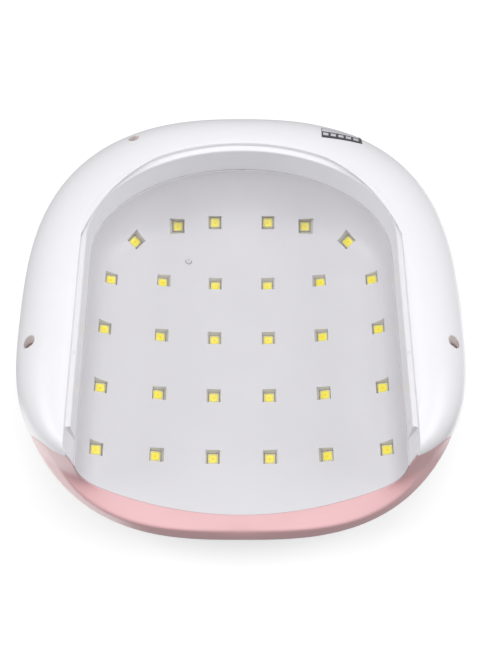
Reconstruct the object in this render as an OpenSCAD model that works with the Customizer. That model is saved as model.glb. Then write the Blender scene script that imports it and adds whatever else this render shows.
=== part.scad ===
// UV LED nail lamp with an open underside, in millimetres.
// +Z is up, the hand goes in from the front at -Y, and the origin is at the centre of the
// footprint on the table. Every rounded shell is lofted from the same plan outline.

/* [Body] */
// Width at the widest level
body_w = 215; // [209:1:221]
// Depth behind the outline's centre
back_depth = 116; // [113:1:119]
// Depth of the base in front of the outline's centre
base_front = 91.5; // [90:0.5:92]
// Depth of the visor in front of the outline's centre
visor_front = 100.6; // [99:0.2:102]
// Height of the parting line between base and cover
parting_z = 32; // [31:0.5:33]
// Height of the flat on the top
flat_z = 88.6; // [88.2:0.1:89]
// Wall thickness of the shells
wall = 2.4; // [2.2:0.1:2.6]

/* [Hand cavity] */
// Half width between the inner walls
cavity_half_w = 74; // [73:0.5:75]
// Height of the crown of the liner
crown_z = 49.5; // [49:0.1:50]
// Height of the liner's lower edge
skirt_z = 18; // [16:0.5:19]
// Depth of the rounded back of the cavity
cavity_back = 51.5; // [51:0.5:52]
// Depth of the recess for the tray
tray_recess = 2.2; // [1.8:0.1:2.6]

/* [LEDs] */
// Side of one square LED package
led_w = 5; // [4.6:0.1:5.2]
// Side of one square window in the liner
window_w = 5.6; // [5.5:0.1:5.8]
// Distance between LED columns
led_pitch_x = 27.2; // [26.8:0.1:27.6]
// Distance between LED rows
led_pitch_y = 31.85; // [31:0.05:32.2]

/* [Controls] */
// Diameter of a timer button
button_d = 9; // [8.5:0.1:9.2]
// Distance between timer buttons
button_pitch = 12.5; // [12.4:0.1:13]
// How far a button stands above the flat on the top
button_proud = 1.4; // [1:0.1:1.6]

/* [Hidden] */

// Plan outline
half_w = body_w / 2;
centre_y = -(back_depth - visor_front) / 2;
back_power = 2.7;
front_power = 3.1;
ring_n = 64;
side_round = 27;
back_round = 29;
front_round = 5;
nose_square = 2.7;
square_drop = 0.6;

// Dome
apex_z = flat_z + 3.4;
brow_z = 58;
dome_power = 2.2;
base_steps = 6;
cover_steps = 12;

// Cavity
cavity_y = centre_y + 30;
cavity_front = -130;
tray_front = -75.4;
mouth_half_w = 74.3;
skirt_front = -84.7;
riser_w = 2.4;
riser_back = 3;
skirt_wall = 1.6;
liner_t = 2;
arch_r2 = 444;
wall_power = 20;
back_slope = 2.6;
back_curve = 0.625;

// Front arch: the line from the liner's front edge out to the white dome
mouth_y = -100.1;
mouth_curve = 0.0023;
arch_steps = 32;
seam_low = [76, 5.2];
seam_mid = [85.3, 10.1];
seam_upper = [90.6, 15.1];
seam_high = [97, parting_z];
crease_top = 51.4;
crease_drop = 4;
trim_top = brow_z + 8;
lip_t = 1;

// LED boards: emitting face, heading, tilt and the LEDs on each
package_h = 1.6;
board_t = 1.6;
lens_h = 0.25;
lens_d = 4;
side_tilt = 17;
rear_tilt = 33;
corner_tilt = 27;
corner_az = 38;
rows_mid_y = -23.6;
long_board_l = 3 * led_pitch_y + 16;
side_x = led_pitch_x / 2 / cos(side_tilt);
rows = [for (k = [-1.5:1:1.5]) k * led_pitch_y];
rear_outer_shift = [-1.6, -3];
centre_at = [[0, rows_mid_y, crown_z + 2.2], 0, 0];
right_at = [[2 * led_pitch_x, rows_mid_y, 43.9], 0, side_tilt];
left_at = [[-2 * led_pitch_x, rows_mid_y, 43.9], 180, side_tilt];
rear_at = [[0, 58.5, 43.9], 90, rear_tilt];
corner_right_at = [[55.8, 46, 43], corner_az, corner_tilt];
corner_left_at = [[-55.8, 46, 43], 180 - corner_az, corner_tilt];
centre_leds = [for (x = [-1, 1], y = rows) [x * led_pitch_x / 2, y]];
right_leds = [for (x = [-1, 1], y = rows) [x * side_x, y]
    + (x > 0 && y == rows[3] ? rear_outer_shift : [0, 0])];
left_leds = [for (p = right_leds) [p[0], -p[1]]];
rear_leds = [[0, -14], [0, 14], [-1.9, -33.7], [-1.9, 33.7]];
corner_leds = [[0, 0]];
LED_GROUPS = [[centre_at, centre_leds], [right_at, right_leds], [left_at, left_leds],
    [rear_at, rear_leds], [corner_right_at, corner_leds], [corner_left_at, corner_leds]];
long_pads = [[0, -48], [0, 48]];
rear_pads = [[0, -24], [0, 24]];
corner_right_pads = [[0, -7]];
corner_left_pads = [[0, 7]];
PAD_GROUPS = [[centre_at, long_pads, 1.6], [right_at, long_pads, 0.8],
    [left_at, long_pads, 0.8], [rear_at, rear_pads, 2],
    [corner_right_at, corner_right_pads, 2.2], [corner_left_at, corner_left_pads, 2.2]];

// Fasteners
case_screw_at = [[-97, -31.5], [97, -31.5], [-55, 85], [55, 85]];
case_seat_z = 16;
case_seat_t = 2.5;
small_pilot_r = 0.95;
small_shank_r = 0.9;

// Boards and controls
control_z = 60;
control_size = [96, 54, board_t];
control_mid = [0, 12];
control_posts = [[-26, -1], [26, -1], [-26, 28], [26, 28]];
panel_z = 77.7;
panel_top = panel_z + board_t;
panel_posts = [[-29, -42], [29, -42], [-29, 14], [29, 14]];
cover_inner_z = flat_z - 2.8;
panel_t = 1.5;
recess_z = flat_z - panel_t;
display_size = [34, 15];
display_y = -4;
window_size = [38, 18];
button_y = -32;
button_hole_r = button_d / 2 + 0.3;
button_flange_r = button_d / 2 + 1.25;
button_top = flat_z + button_proud;
flange_z = cover_inner_z - 1.6;
stem_r = 1.5;
switch_top = panel_top + 3.5;
BUTTON_X = [for (k = [-1.5:1:1.5]) k * button_pitch];

// DC inlet
jack_z = 20;
jack_face_y = 103.2;
jack_collar_r = 4;
jack_bore_r = 2.9;
jack_pin_r = 1;
jack_depth = 9.5;

// Tray magnets and sensor
magnet_at = [[-75.2, -39.4], [75.2, -39.4], [-75, 29], [75, 29]];
sensor_at = [27.7, 36.8];
label_at = [-51.1, 86.3];

function spow(v, p) = sign(v) * pow(abs(v), p);

// One closed plan ring: [z, half width, depth behind, depth in front, front and back power]
function ring(l) = [for (i = [0:ring_n - 1])
    let (a = 360 * i / ring_n, s = sin(a), back = s >= 0, p = 2 / (back ? l[5] : l[4]))
        [l[1] * spow(cos(a), p), centre_y + (back ? l[2] : l[3]) * spow(s, p), l[0]]];

// Rounded underside of the base
function roll(z) = 1 - sqrt(1 - pow(1 - min(z, parting_z) / parting_z, 2));
function base_level(z, grow) = [z, half_w - side_round * roll(z) + grow,
    back_depth - back_round * roll(z) + grow, base_front - front_round * roll(z) + grow,
    front_power + nose_square * roll(z), back_power - square_drop * roll(z)];

// Dome of the cover, with the visor's brow leaning out in front
function dome(u) = pow(max(0, 1 - pow(u, dome_power)), 1 / dome_power);
function brow(t) = pow(t * t * (3 - 2 * t), 0.9);
function visor_depth(z) = z <= brow_z
    ? base_front + (visor_front - base_front) * brow(max(0, z - parting_z) / (brow_z - parting_z))
    : visor_front * dome((z - brow_z) / (apex_z - brow_z));
function cover_level(z, grow) = let (u = (z - parting_z) / (apex_z - parting_z), g = dome(u))
    [z, half_w * g + grow, back_depth * g + grow, visor_depth(z) + grow,
        front_power - square_drop * u * u, back_power - square_drop * u * u];

// Front face of the body at a place on the front elevation
function front_y(x, z, grow) = let (l = z < parting_z ? base_level(z, grow) : cover_level(z, grow))
    centre_y - l[3] * pow(max(0, 1 - pow(abs(x) / l[1], l[4])), 1 / l[4]);

module loft(levels) {
    rings = [for (l = levels) each ring(l)];
    top = len(levels) - 1;
    sides = [for (k = [0:top - 1], i = [0:ring_n - 1]) let (j = (i + 1) % ring_n)
        each [[k * ring_n + i, (k + 1) * ring_n + i, (k + 1) * ring_n + j],
            [k * ring_n + i, (k + 1) * ring_n + j, k * ring_n + j]]];
    caps = [[for (i = [0:ring_n - 1]) i], [for (i = [ring_n - 1:-1:0]) top * ring_n + i]];
    polyhedron(rings, concat(sides, caps));
}

// A closed solid from two grids of points that share their edges, inner first
module sheet_solid(inner, outer) {
    m = len(inner);
    n = len(inner[0]);
    points = concat([for (r = inner) each r], [for (r = outer) each r]);
    o = m * n;
    faces = concat(
        [for (j = [0:m - 2], i = [0:n - 2]) let (a = j * n + i)
            each [[a, a + 1, a + n + 1], [a, a + n + 1, a + n]]],
        [for (j = [0:m - 2], i = [0:n - 2]) let (a = o + j * n + i)
            each [[a, a + n + 1, a + 1], [a, a + n, a + n + 1]]],
        [for (j = [0:m - 2]) let (a = j * n)
            each [[a, a + n, o + a + n], [a, o + a + n, o + a]]],
        [for (j = [0:m - 2]) let (a = j * n + n - 1)
            each [[a, o + a + n, a + n], [a, o + a, o + a + n]]],
        [for (i = [0:n - 2]) each [[i, o + i + 1, i + 1], [i, o + i, o + i + 1]]],
        [for (i = [0:n - 2]) let (a = (m - 1) * n + i)
            each [[a, a + 1, o + a + 1], [a, o + a + 1, o + a]]]);
    polyhedron(points, faces);
}

// A tube along a list of points, for the leads
module tube(path, r) {
    sides = 8;
    last = len(path) - 1;
    function heading(i) = let (d = path[min(i + 1, last)] - path[max(i - 1, 0)]) d / norm(d);
    function across(i) = let (d = heading(i), c = cross(d, abs(d[2]) > 0.9 ? [1, 0, 0] : [0, 0, 1]))
        c / norm(c);
    points = [for (i = [0:last]) let (u = across(i), v = cross(heading(i), u))
        for (k = [0:sides - 1]) path[i] + r * (cos(45 * k) * u + sin(45 * k) * v)];
    faces = concat(
        [for (i = [0:last - 1], k = [0:sides - 1])
            let (a = i * sides + k, b = i * sides + (k + 1) % sides)
                each [[a, b, b + sides], [a, b + sides, a + sides]]],
        [[for (k = [sides - 1:-1:0]) k], [for (k = [0:sides - 1]) last * sides + k]]);
    polyhedron(points, faces);
}

// A smooth run of points through a few chosen ones
function bend(a, b, c, d, steps) = [for (k = [0:steps]) let (t = k / steps, s = 1 - t)
    s * s * s * a + 3 * s * s * t * b + 3 * s * t * t * c + t * t * t * d];

module base_solid(inset, z0) {
    loft([for (k = [0:base_steps])
        let (z = z0 + (parting_z - z0) * (1 - cos(90 * k / base_steps)))
            base_level(z, -inset)]);
}

module cover_solid(inset, z1) {
    loft([for (k = [0:cover_steps])
        cover_level(parting_z + (z1 - parting_z) * sin(90 * k / cover_steps), -inset)]);
}

// Straight sides and an elliptical back, open to the front
module cavity_plan(grow, back_grow) {
    w = cavity_half_w + grow;
    translate([-w, cavity_front]) square([2 * w, cavity_y - cavity_front]);
    intersection() {
        translate([0, cavity_y]) scale_circle(w, cavity_back + back_grow);
        translate([-w, cavity_y - 1]) square([2 * w, 2 * cavity_back]);
    }
}

// What lies behind a line across the plan
module behind(y) {
    intersection() {
        children();
        translate([-half_w, y]) square([2 * half_w, 2 * back_depth]);
    }
}

module scale_circle(a, b) {
    polygon([for (i = [0:71]) [a * cos(5 * i), b * sin(5 * i)]]);
}

module on_board(at) {
    translate(at[0]) rotate([0, 0, at[1]]) rotate([0, at[2], 0]) children();
}

// Part of the front elevation between the seams, pushed through the front of the body
module front_prism(points) {
    translate([0, -60, 0]) rotate([90, 0, 0]) linear_extrude(80) polygon(points);
}

// Height of the liner; across and back are fractions of its half width and rounded depth
function liner_z(across, back, t) = let (rho = min(1, norm([across, back])),
        turn = rho > 0 ? pow(back / rho, 3) : 0,
        p = 1 / ((1 - turn) / wall_power + turn / back_slope),
        q = (1 - turn) / 3 + turn * back_curve)
    skirt_z + (crown_z + t - skirt_z)
        * (1 - pow(across * cavity_half_w, 2) / (arch_r2 * (crown_z - skirt_z)))
        * pow(1 - pow(rho, p), q);
// Inner edge of the front arch from side to side: it follows the liner
function arch_in(w) = let (s = sin(90 * abs(w) * 1.09), out = abs(w) > 0.9174)
    out ? let (t = (abs(w) - 0.9174) / 0.0826)
        [sign(w) * (cavity_half_w + t * (seam_low[0] - cavity_half_w)),
            skirt_z + t * (seam_low[1] - skirt_z)]
    : [sign(w) * s * cavity_half_w, liner_z(s, 0, 0)];
// Outer edge of the trim, from seam to seam over the brow
function arch_out(w) = let (a = 90 * w) [seam_high[0] * spow(sin(a), 0.86),
    seam_high[1] + (trim_top - seam_high[1]) * pow(max(0, cos(a)), 0.62)];
// Crease between the trim's lip and its outer face, out from the inner edge
function arch_crease(w) = let (i = arch_in(w), h = crease_top - seam_low[1],
        d = [i[0] / seam_mid[0], (i[1] - seam_low[1]) / h],
        r = pow(pow(abs(d[0]), 4.5) + pow(max(0, d[1]), 4.5), -1 / 4.5), z = h * r * d[1])
    [seam_mid[0] * r * d[0], seam_low[1] + z + (seam_mid[1] - seam_low[1]) * pow(1 - z / h, 3)];
// Fullest line of the visor, which meets the seam lower down at its two ends
function arch_full(w) = let (c = arch_crease(w), o = arch_out(w), f = 0.452,
        end = seam_mid + f * (seam_high - seam_mid))
    c + f * (o - c) + (seam_upper - end)[1] * pow(abs(w), 6) * [0, 1];
// The crease hangs in front of the body's own surface between the middle and the two ends
function crease_point(c, drop) = [c[0] * (1 - drop / 445),
    front_y(c[0], c[1], 0) - 0.32 * drop, c[1] - drop];
function mouth(p) = mouth_y + mouth_curve * p[0] * p[0];

module base_shell() {
    color("white") {
        difference() {
            union() {
                difference() {
                    base_solid(0, 0);
                    base_solid(wall, wall);
                    for (m = [-1, 1]) front_prism([[m * 70, 40], [m * 70, seam_low[1] - 0.9],
                        for (p = [seam_low, seam_mid, seam_upper]) [m * p[0], p[1] - 0.2],
                        [m * (seam_high[0] + 0.2), parting_z - 0.2],
                        [m * (seam_high[0] + 0.2), 40]]);
                }
                intersection() {
                    base_solid(0, 0);
                    linear_extrude(skirt_z - 0.2) behind(skirt_front)
                        cavity_plan(riser_w + skirt_wall, riser_back + skirt_wall);
                }
                intersection() {
                    base_solid(wall / 2, 1);
                    for (p = case_screw_at)
                        translate([p[0], p[1], 1]) cylinder(r = 5, h = 30.6, $fn = 48);
                }
            }
            translate([0, 0, -1]) linear_extrude(tray_recess + 1)
                cavity_plan(riser_w, riser_back);
            translate([0, 0, -0.01])
                linear_extrude(skirt_z - 0.19, scale = [mouth_half_w / (cavity_half_w + riser_w), 1])
                translate([-cavity_half_w - riser_w, cavity_front])
                square([2 * (cavity_half_w + riser_w), tray_front - cavity_front]);
            translate([-cavity_half_w - riser_w, cavity_front, skirt_z - 0.2])
                cube([2 * (cavity_half_w + riser_w), tray_front - cavity_front, 21]);
            translate([0, 0, -1]) linear_extrude(skirt_z + 20) cavity_plan(0, 0);
            for (p = case_screw_at) translate([p[0], p[1], 0]) {
                translate([0, 0, -1]) cylinder(r = 3.1, h = case_seat_z + 1, $fn = 48);
                cylinder(r = 1.65, h = 40, $fn = 32);
            }
            for (p = magnet_at)
                translate([p[0], p[1], tray_recess - 0.1]) cylinder(r = 0.85, h = 3.1, $fn = 24);
            translate([0, jack_face_y - 8, jack_z]) rotate([-90, 0, 0])
                cylinder(r = jack_collar_r + 0.15, h = 20, $fn = 48);
        }
    }
}

module top_cover() {
    color("white") {
        difference() {
            union() {
                difference() {
                    cover_solid(0, flat_z);
                    cover_solid(wall, cover_inner_z);
                    front_prism(concat([for (k = [-arch_steps:arch_steps])
                        let (p = arch_out(k / arch_steps)) [p[0] * 1.002, p[1] + 0.15]],
                        [[seam_high[0], 20], [-seam_high[0], 20]]));
                }
                intersection() {
                    cover_solid(wall / 2, flat_z - 1);
                    union() {
                        for (p = case_screw_at)
                            translate([p[0], p[1], parting_z + 0.2]) cylinder(r = 4.5, h = 40, $fn = 48);
                        for (p = panel_posts)
                            translate([p[0], p[1], panel_top]) cylinder(r = 3, h = 8, $fn = 32);
                    }
                }
            }
            translate([0, centre_y, recess_z]) linear_extrude(5) panel_plan(0.15);
            translate([-display_size[0] / 2 - 0.4, display_y - display_size[1] / 2 - 0.4, 80])
                cube([display_size[0] + 0.8, display_size[1] + 0.8, 12]);
            for (x = BUTTON_X)
                translate([x, button_y, 80]) cylinder(r = button_hole_r, h = 12, $fn = 48);
            for (p = case_screw_at)
                translate([p[0], p[1], parting_z]) cylinder(r = 1.6, h = 12, $fn = 32);
            for (p = panel_posts)
                translate([p[0], p[1], panel_top - 0.1]) cylinder(r = small_pilot_r, h = 5, $fn = 24);
        }
    }
}

module front_trim() {
    ws = [for (k = [-arch_steps:arch_steps]) k / arch_steps];
    front = [for (w = ws) let (i = arch_in(w), c = arch_crease(w), o = arch_out(w),
            m = arch_full(w))
        [[i[0], mouth(i), i[1]],
            crease_point(c, crease_drop * sin(180 * abs(w))),
            [m[0], front_y(m[0], m[1], 0), m[1]],
            [o[0], front_y(o[0], o[1], 0), o[1]]]];
    back = [for (w = ws) let (i = arch_in(w), c = arch_crease(w), o = arch_out(w),
            m = arch_full(w), e = (c - i) / norm(c - i), n = (1 - 0.75 * pow(abs(w), 8)) * 1.4)
        [[i[0] + e[0] * n, mouth(i) + 0.5 * lip_t, i[1] + max(0.4, e[1]) * n],
            [c[0] + e[0] * n * 0.6, front_y(c[0], c[1], -wall), c[1] + n * (1 - abs(w))],
            [m[0], front_y(m[0], m[1], -wall), m[1]],
            [o[0], front_y(o[0], o[1], -wall), o[1]]]];
    color("pink") sheet_solid(front, back);
}

module reflector_liner() {
    across = 32;
    straight = 8;
    round_n = 12;
    function s_of(i) = sin(180 * i / across - 90);
    function station(j) = j <= straight ? [j / straight, 0] : [1, (j - straight) * 87 / round_n];
    function point(i, j, t) = let (st = station(j), beta = st[1], across = s_of(i) * cos(beta),
            x = across * (cavity_half_w + t), front = mouth([x]) + lip_t + 0.15)
        [x, st[0] < 1 ? front + (cavity_y - front) * st[0]
                : cavity_y + (cavity_back + t) * sin(beta),
            liner_z(across, sin(beta), t)];
    color("gainsboro") difference() {
        union() {
            sheet_solid(
                [for (j = [0:straight + round_n]) [for (i = [0:across]) point(i, j, 0)]],
                [for (j = [0:straight + round_n]) [for (i = [0:across]) point(i, j, liner_t)]]);
            for (p = control_posts)
                translate([p[0], p[1], 48.6]) cylinder(r = 2.5, h = control_z - 48.6, $fn = 32);
            for (g = PAD_GROUPS) on_board(g[0]) for (p = g[1])
                translate([p[0], p[1], -g[2]]) cylinder(r = 2.2, h = package_h + g[2], $fn = 24);
        }
        for (g = LED_GROUPS) on_board(g[0]) for (p = g[1])
            translate([p[0] - window_w / 2, p[1] - window_w / 2, -10])
                cube([window_w, window_w, 12]);
        for (p = control_posts)
            translate([p[0], p[1], control_z - 7]) cylinder(r = small_pilot_r, h = 8, $fn = 24);
        for (g = PAD_GROUPS) on_board(g[0]) for (p = g[1])
            translate([p[0], p[1], 0.1]) cylinder(r = small_pilot_r, h = 3, $fn = 24);
        translate([sensor_at[0], sensor_at[1], 40]) cylinder(r = 1.7, h = 20, $fn = 32);
    }
}

module led_board(at, size, pads) {
    color("seagreen") on_board(at) difference() {
        translate([-size[0] / 2, -size[1] / 2, package_h]) cube([size[0], size[1], board_t]);
        for (p = pads)
            translate([p[0], p[1], 0]) cylinder(r = 1.1, h = 5, $fn = 24);
    }
}

module led_board_centre() { led_board(centre_at, [38, long_board_l], long_pads); }
module led_board_left() { led_board(left_at, [42, long_board_l], long_pads); }
module led_board_right() { led_board(right_at, [42, long_board_l], long_pads); }
module led_board_rear() { led_board(rear_at, [13, 80], rear_pads); }
module led_board_corner_left() { led_board(corner_left_at, [12, 18], corner_left_pads); }
module led_board_corner_right() { led_board(corner_right_at, [12, 18], corner_right_pads); }

module led_packages() {
    color("ivory") for (g = LED_GROUPS) on_board(g[0]) for (p = g[1])
        translate([p[0], p[1], 0]) difference() {
            translate([-led_w / 2, -led_w / 2, 0]) cube([led_w, led_w, package_h]);
            translate([0, 0, -0.1]) cylinder(d = lens_d, h = lens_h + 0.1, $fn = 32);
        }
}

module led_lenses() {
    color("gold") for (g = LED_GROUPS) on_board(g[0]) for (p = g[1])
        translate([p[0], p[1], 0]) cylinder(d = lens_d, h = lens_h, $fn = 32);
}

module led_board_screws() {
    color("silver") for (g = PAD_GROUPS) on_board(g[0]) for (p = g[1])
        translate([p[0], p[1], 0]) {
            translate([0, 0, package_h + board_t]) cylinder(r = 1.9, h = 1.3, $fn = 24);
            translate([0, 0, 0.3]) cylinder(r = small_shank_r, h = package_h + board_t, $fn = 24);
        }
}

module control_board() {
    color("darkgreen") difference() {
        translate([control_mid[0] - control_size[0] / 2, control_mid[1] - control_size[1] / 2,
            control_z]) cube(control_size);
        for (p = control_posts)
            translate([p[0], p[1], control_z - 1]) cylinder(r = 1.1, h = 5, $fn = 24);
    }
}

// Ring core with its winding as a fat torus on the control board
module power_inductor() {
    color("darkgoldenrod") translate([34, 22, control_z + board_t + 4.5])
        rotate_extrude($fn = 48) translate([5.5, 0]) circle(r = 3.5, $fn = 24);
    color("dimgray") translate([34, 22, control_z + board_t])
        cylinder(r = 1.8, h = 8, $fn = 32);
}

module capacitors() {
    color("navy") for (x = [-38, -26.5])
        translate([x, 18, control_z + board_t]) cylinder(r = 4, h = 11, $fn = 48);
}

module power_transistors() {
    color("black") for (x = [-8, 3, 14])
        translate([x - 3.3, 26, control_z + board_t]) cube([6.6, 6.1, 2.3]);
}

module heat_sink() {
    color("silver") {
        translate([-13, 26, control_z + board_t + 2.3]) cube([32, 10, 1.5]);
        for (k = [0:7])
            translate([-13 + k * 4.35, 26, control_z + board_t + 3.7]) cube([1.5, 10, 5]);
    }
}

module board_connectors() {
    color("ivory") {
        for (x = [-42, -30, 22, 34])
            translate([x, -13, control_z + board_t]) cube([8, 5.5, 6]);
        translate([-6, -13, control_z + board_t]) cube([12, 5.5, 6]);
        translate([-4, 5, control_z + board_t]) cube([8, 5.5, 6]);
        translate([-5, 8, panel_z - 5]) cube([10, 5, 5]);
    }
}

module control_board_screws() {
    color("silver") for (p = control_posts) translate([p[0], p[1], control_z]) {
        translate([0, 0, board_t]) cylinder(r = 2, h = 1.4, $fn = 24);
        translate([0, 0, -5]) cylinder(r = small_shank_r, h = 5 + board_t, $fn = 24);
    }
}

module panel_board() {
    color("darkgreen") difference() {
        translate([-34, -48, panel_z]) cube([68, 68, board_t]);
        for (p = panel_posts)
            translate([p[0], p[1], panel_z - 1]) cylinder(r = 1.1, h = 5, $fn = 24);
    }
}

module display_module() {
    color("black") translate([-display_size[0] / 2, display_y - display_size[1] / 2, panel_top])
        cube([display_size[0], display_size[1], cover_inner_z - 0.2 - panel_top]);
}

module tact_switches() {
    color("dimgray") for (x = BUTTON_X) translate([x, button_y, panel_top]) difference() {
        translate([-3, -3, 0]) cube([6, 6, 3.5]);
        translate([0, 0, 0.7]) cylinder(r = stem_r + 0.3, h = 4, $fn = 32);
    }
}

module panel_board_screws() {
    color("silver") for (p = panel_posts) translate([p[0], p[1], panel_z]) {
        translate([0, 0, -1.3]) cylinder(r = 1.9, h = 1.3, $fn = 24);
        cylinder(r = small_shank_r, h = board_t + 4.5, $fn = 24);
    }
}

// Plan of the control panel around the centre of the outline
module panel_plan(grow) {
    polygon([for (i = [0:71]) let (a = 5 * i)
        [(33 + grow) * spow(cos(a), 0.8),
            ((sin(a) > 0 ? 34 : 44) + grow) * spow(sin(a), 0.8)]]);
}

module control_panel() {
    color("whitesmoke") difference() {
        translate([0, centre_y, recess_z]) linear_extrude(panel_t) panel_plan(0);
        translate([-window_size[0] / 2 - 0.1, display_y - window_size[1] / 2 - 0.1, recess_z - 1])
            cube([window_size[0] + 0.2, window_size[1] + 0.2, 4]);
        for (x = BUTTON_X)
            translate([x, button_y, recess_z - 1]) cylinder(r = button_hole_r, h = 4, $fn = 48);
    }
}

module display_window() {
    color("black", 0.6) translate([-window_size[0] / 2, display_y - window_size[1] / 2, recess_z])
        cube([window_size[0], window_size[1], panel_t]);
}

module button(x) {
    color("pink") translate([x, button_y, 0]) {
        translate([0, 0, flange_z + 1.3]) cylinder(d = button_d, h = button_top - flange_z - 1.3, $fn = 48);
        translate([0, 0, flange_z]) cylinder(r = button_flange_r, h = 1.3, $fn = 48);
        translate([0, 0, flange_z - 2.7]) cylinder(r = stem_r, h = 3, $fn = 32);
    }
}

module button_10s() { button(BUTTON_X[0]); }
module button_30s() { button(BUTTON_X[1]); }
module button_60s() { button(BUTTON_X[2]); }
module button_99s() { button(BUTTON_X[3]); }

module hand_sensor() {
    color("black") translate([sensor_at[0], sensor_at[1], 0]) {
        translate([0, 0, 47.4]) cylinder(r = 1.5, h = 5, $fn = 32);
        translate([0, 0, 51.6]) cylinder(r = 2.6, h = 1.6, $fn = 32);
    }
}

module dc_jack() {
    color("black") translate([0, jack_face_y, jack_z]) {
        difference() {
            union() {
                translate([-5.5, -16, -6]) cube([11, 13, 12]);
                rotate([90, 0, 0]) translate([0, 0, -1.5]) cylinder(r = jack_collar_r, h = 6, $fn = 48);
            }
            rotate([90, 0, 0]) translate([0, 0, -2]) cylinder(r = jack_bore_r, h = jack_depth + 2, $fn = 48);
        }
        rotate([90, 0, 0]) translate([0, 0, 0.5]) cylinder(r = jack_pin_r, h = jack_depth, $fn = 32);
    }
}

module power_lead() {
    color("red") tube(concat(
        bend([0, 87.1, 20], [0, 82, 20], [6, 81, 24], [10, 81, 36], 8),
        bend([10, 81, 38], [12, 80, 56], [8, 60, 68], [4, 44, 65], 10),
        bend([3.7, 42.4, 64.7], [3, 40, 64], [2.4, 39, 63.4], [2, 38.4, 61.9], 4)), 1.4);
}

module panel_lead() {
    color("gray") tube(bend([0, 7.5, 67.8], [0, 7.5, 70], [0, 10.5, 70.2], [0, 10.5, 72.5], 8), 1.6);
}

module led_leads() {
    color("red") for (m = [-1, 1]) {
        tube(bend([m * 38, -13.1, 64.6], [m * 38, -20, 66], [m * 46, -22, 60], [m * 50, -22, 50.3], 10), 1);
        tube(bend([m * 26, -13.1, 64.6], [m * 26, -20, 66], [m * 16, -22, 62], [m * 14, -22, 55.1], 10), 1);
    }
}

module case_screws() {
    color("silver") for (p = case_screw_at) translate([p[0], p[1], case_seat_z]) {
        difference() {
            translate([0, 0, -2.2]) cylinder(r = 2.75, h = 2.2, $fn = 48);
            for (a = [0, 90]) rotate([0, 0, a]) translate([-1.6, -0.4, -2.3]) cube([3.2, 0.8, 1.3]);
        }
        cylinder(r = 1.5, h = 24, $fn = 32);
    }
}

module tray_magnets() {
    color("dimgray") for (p = magnet_at)
        translate([p[0], p[1], tray_recess]) cylinder(r = 0.8, h = 2.8, $fn = 24);
}

module rating_label() {
    color("black") intersection() {
        difference() {
            base_solid(-0.25, 0.01);
            base_solid(-0.05, 0.005);
        }
        translate([label_at[0], label_at[1], 0]) rotate([0, 0, 2.5])
            translate([-10.5, -5, 1]) cube([21, 10, 20]);
    }
}

base_shell();
top_cover();
front_trim();
reflector_liner();
led_board_centre();
led_board_left();
led_board_right();
led_board_rear();
led_board_corner_left();
led_board_corner_right();
led_packages();
led_lenses();
led_board_screws();
control_board();
power_inductor();
capacitors();
power_transistors();
heat_sink();
board_connectors();
control_board_screws();
panel_board();
display_module();
tact_switches();
panel_board_screws();
control_panel();
display_window();
button_10s();
button_30s();
button_60s();
button_99s();
hand_sensor();
dc_jack();
power_lead();
panel_lead();
led_leads();
case_screws();
tray_magnets();
rating_label();
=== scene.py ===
import math
import bmesh
import bpy
import numpy as np
from mathutils import Matrix, Vector


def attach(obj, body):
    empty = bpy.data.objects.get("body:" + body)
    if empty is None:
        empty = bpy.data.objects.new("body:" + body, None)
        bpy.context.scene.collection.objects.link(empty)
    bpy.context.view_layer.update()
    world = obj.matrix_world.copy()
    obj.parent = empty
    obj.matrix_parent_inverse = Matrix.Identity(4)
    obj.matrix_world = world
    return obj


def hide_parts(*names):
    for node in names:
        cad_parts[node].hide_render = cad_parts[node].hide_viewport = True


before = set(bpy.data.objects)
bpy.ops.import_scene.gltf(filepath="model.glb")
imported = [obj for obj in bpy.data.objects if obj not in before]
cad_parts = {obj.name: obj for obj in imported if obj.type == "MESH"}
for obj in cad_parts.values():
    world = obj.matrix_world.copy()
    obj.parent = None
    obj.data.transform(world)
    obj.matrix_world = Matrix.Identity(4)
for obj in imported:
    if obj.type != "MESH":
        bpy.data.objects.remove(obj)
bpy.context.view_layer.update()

# Outline of the body, in millimetres, as in the CAD model
HALF, BACK, BASE_FRONT, VISOR_FRONT = 107.5, 116.0, 91.5, 100.6
CY, PART, FLAT, APEX, BROW = -7.7, 32.0, 88.6, 92.0, 58.0
CAV_W, CAV_Y, CAV_B, CROWN, SKIRT = 74.0, 22.3, 51.5, 49.5, 18.0
FRONT_W, MOUTH_W = CAV_W + 2.4, CAV_W + 0.3
SEAM_LOW, SEAM_HIGH = (76.0, 5.2), (97.0, 32.0)
CREASE_END, CREASE_TOP, TRIM_TOP = 85.3, 51.4, BROW + 8.0
# Heights in the base: its inner wall's top, the ledge, and where the front tips stop tapering
WALL_TOP, LEDGE_Z, TIP_TOP = 17.8, 2.2, 4.8
SQUARE = ((-1, -1), (1, -1), (1, 1), (-1, 1))


def spow(v, p):
    return np.sign(v) * np.abs(v) ** p


def roll(z):
    """How far the base's rounded flank is drawn in: 1 at the bottom, 0 at the parting line."""
    return 1 - np.sqrt(np.maximum(0, 1 - (1 - np.minimum(z, PART) / PART) ** 2))


def dome(u):
    return np.maximum(0, 1 - np.maximum(u, 0) ** 2.2) ** (1 / 2.2)


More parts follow.
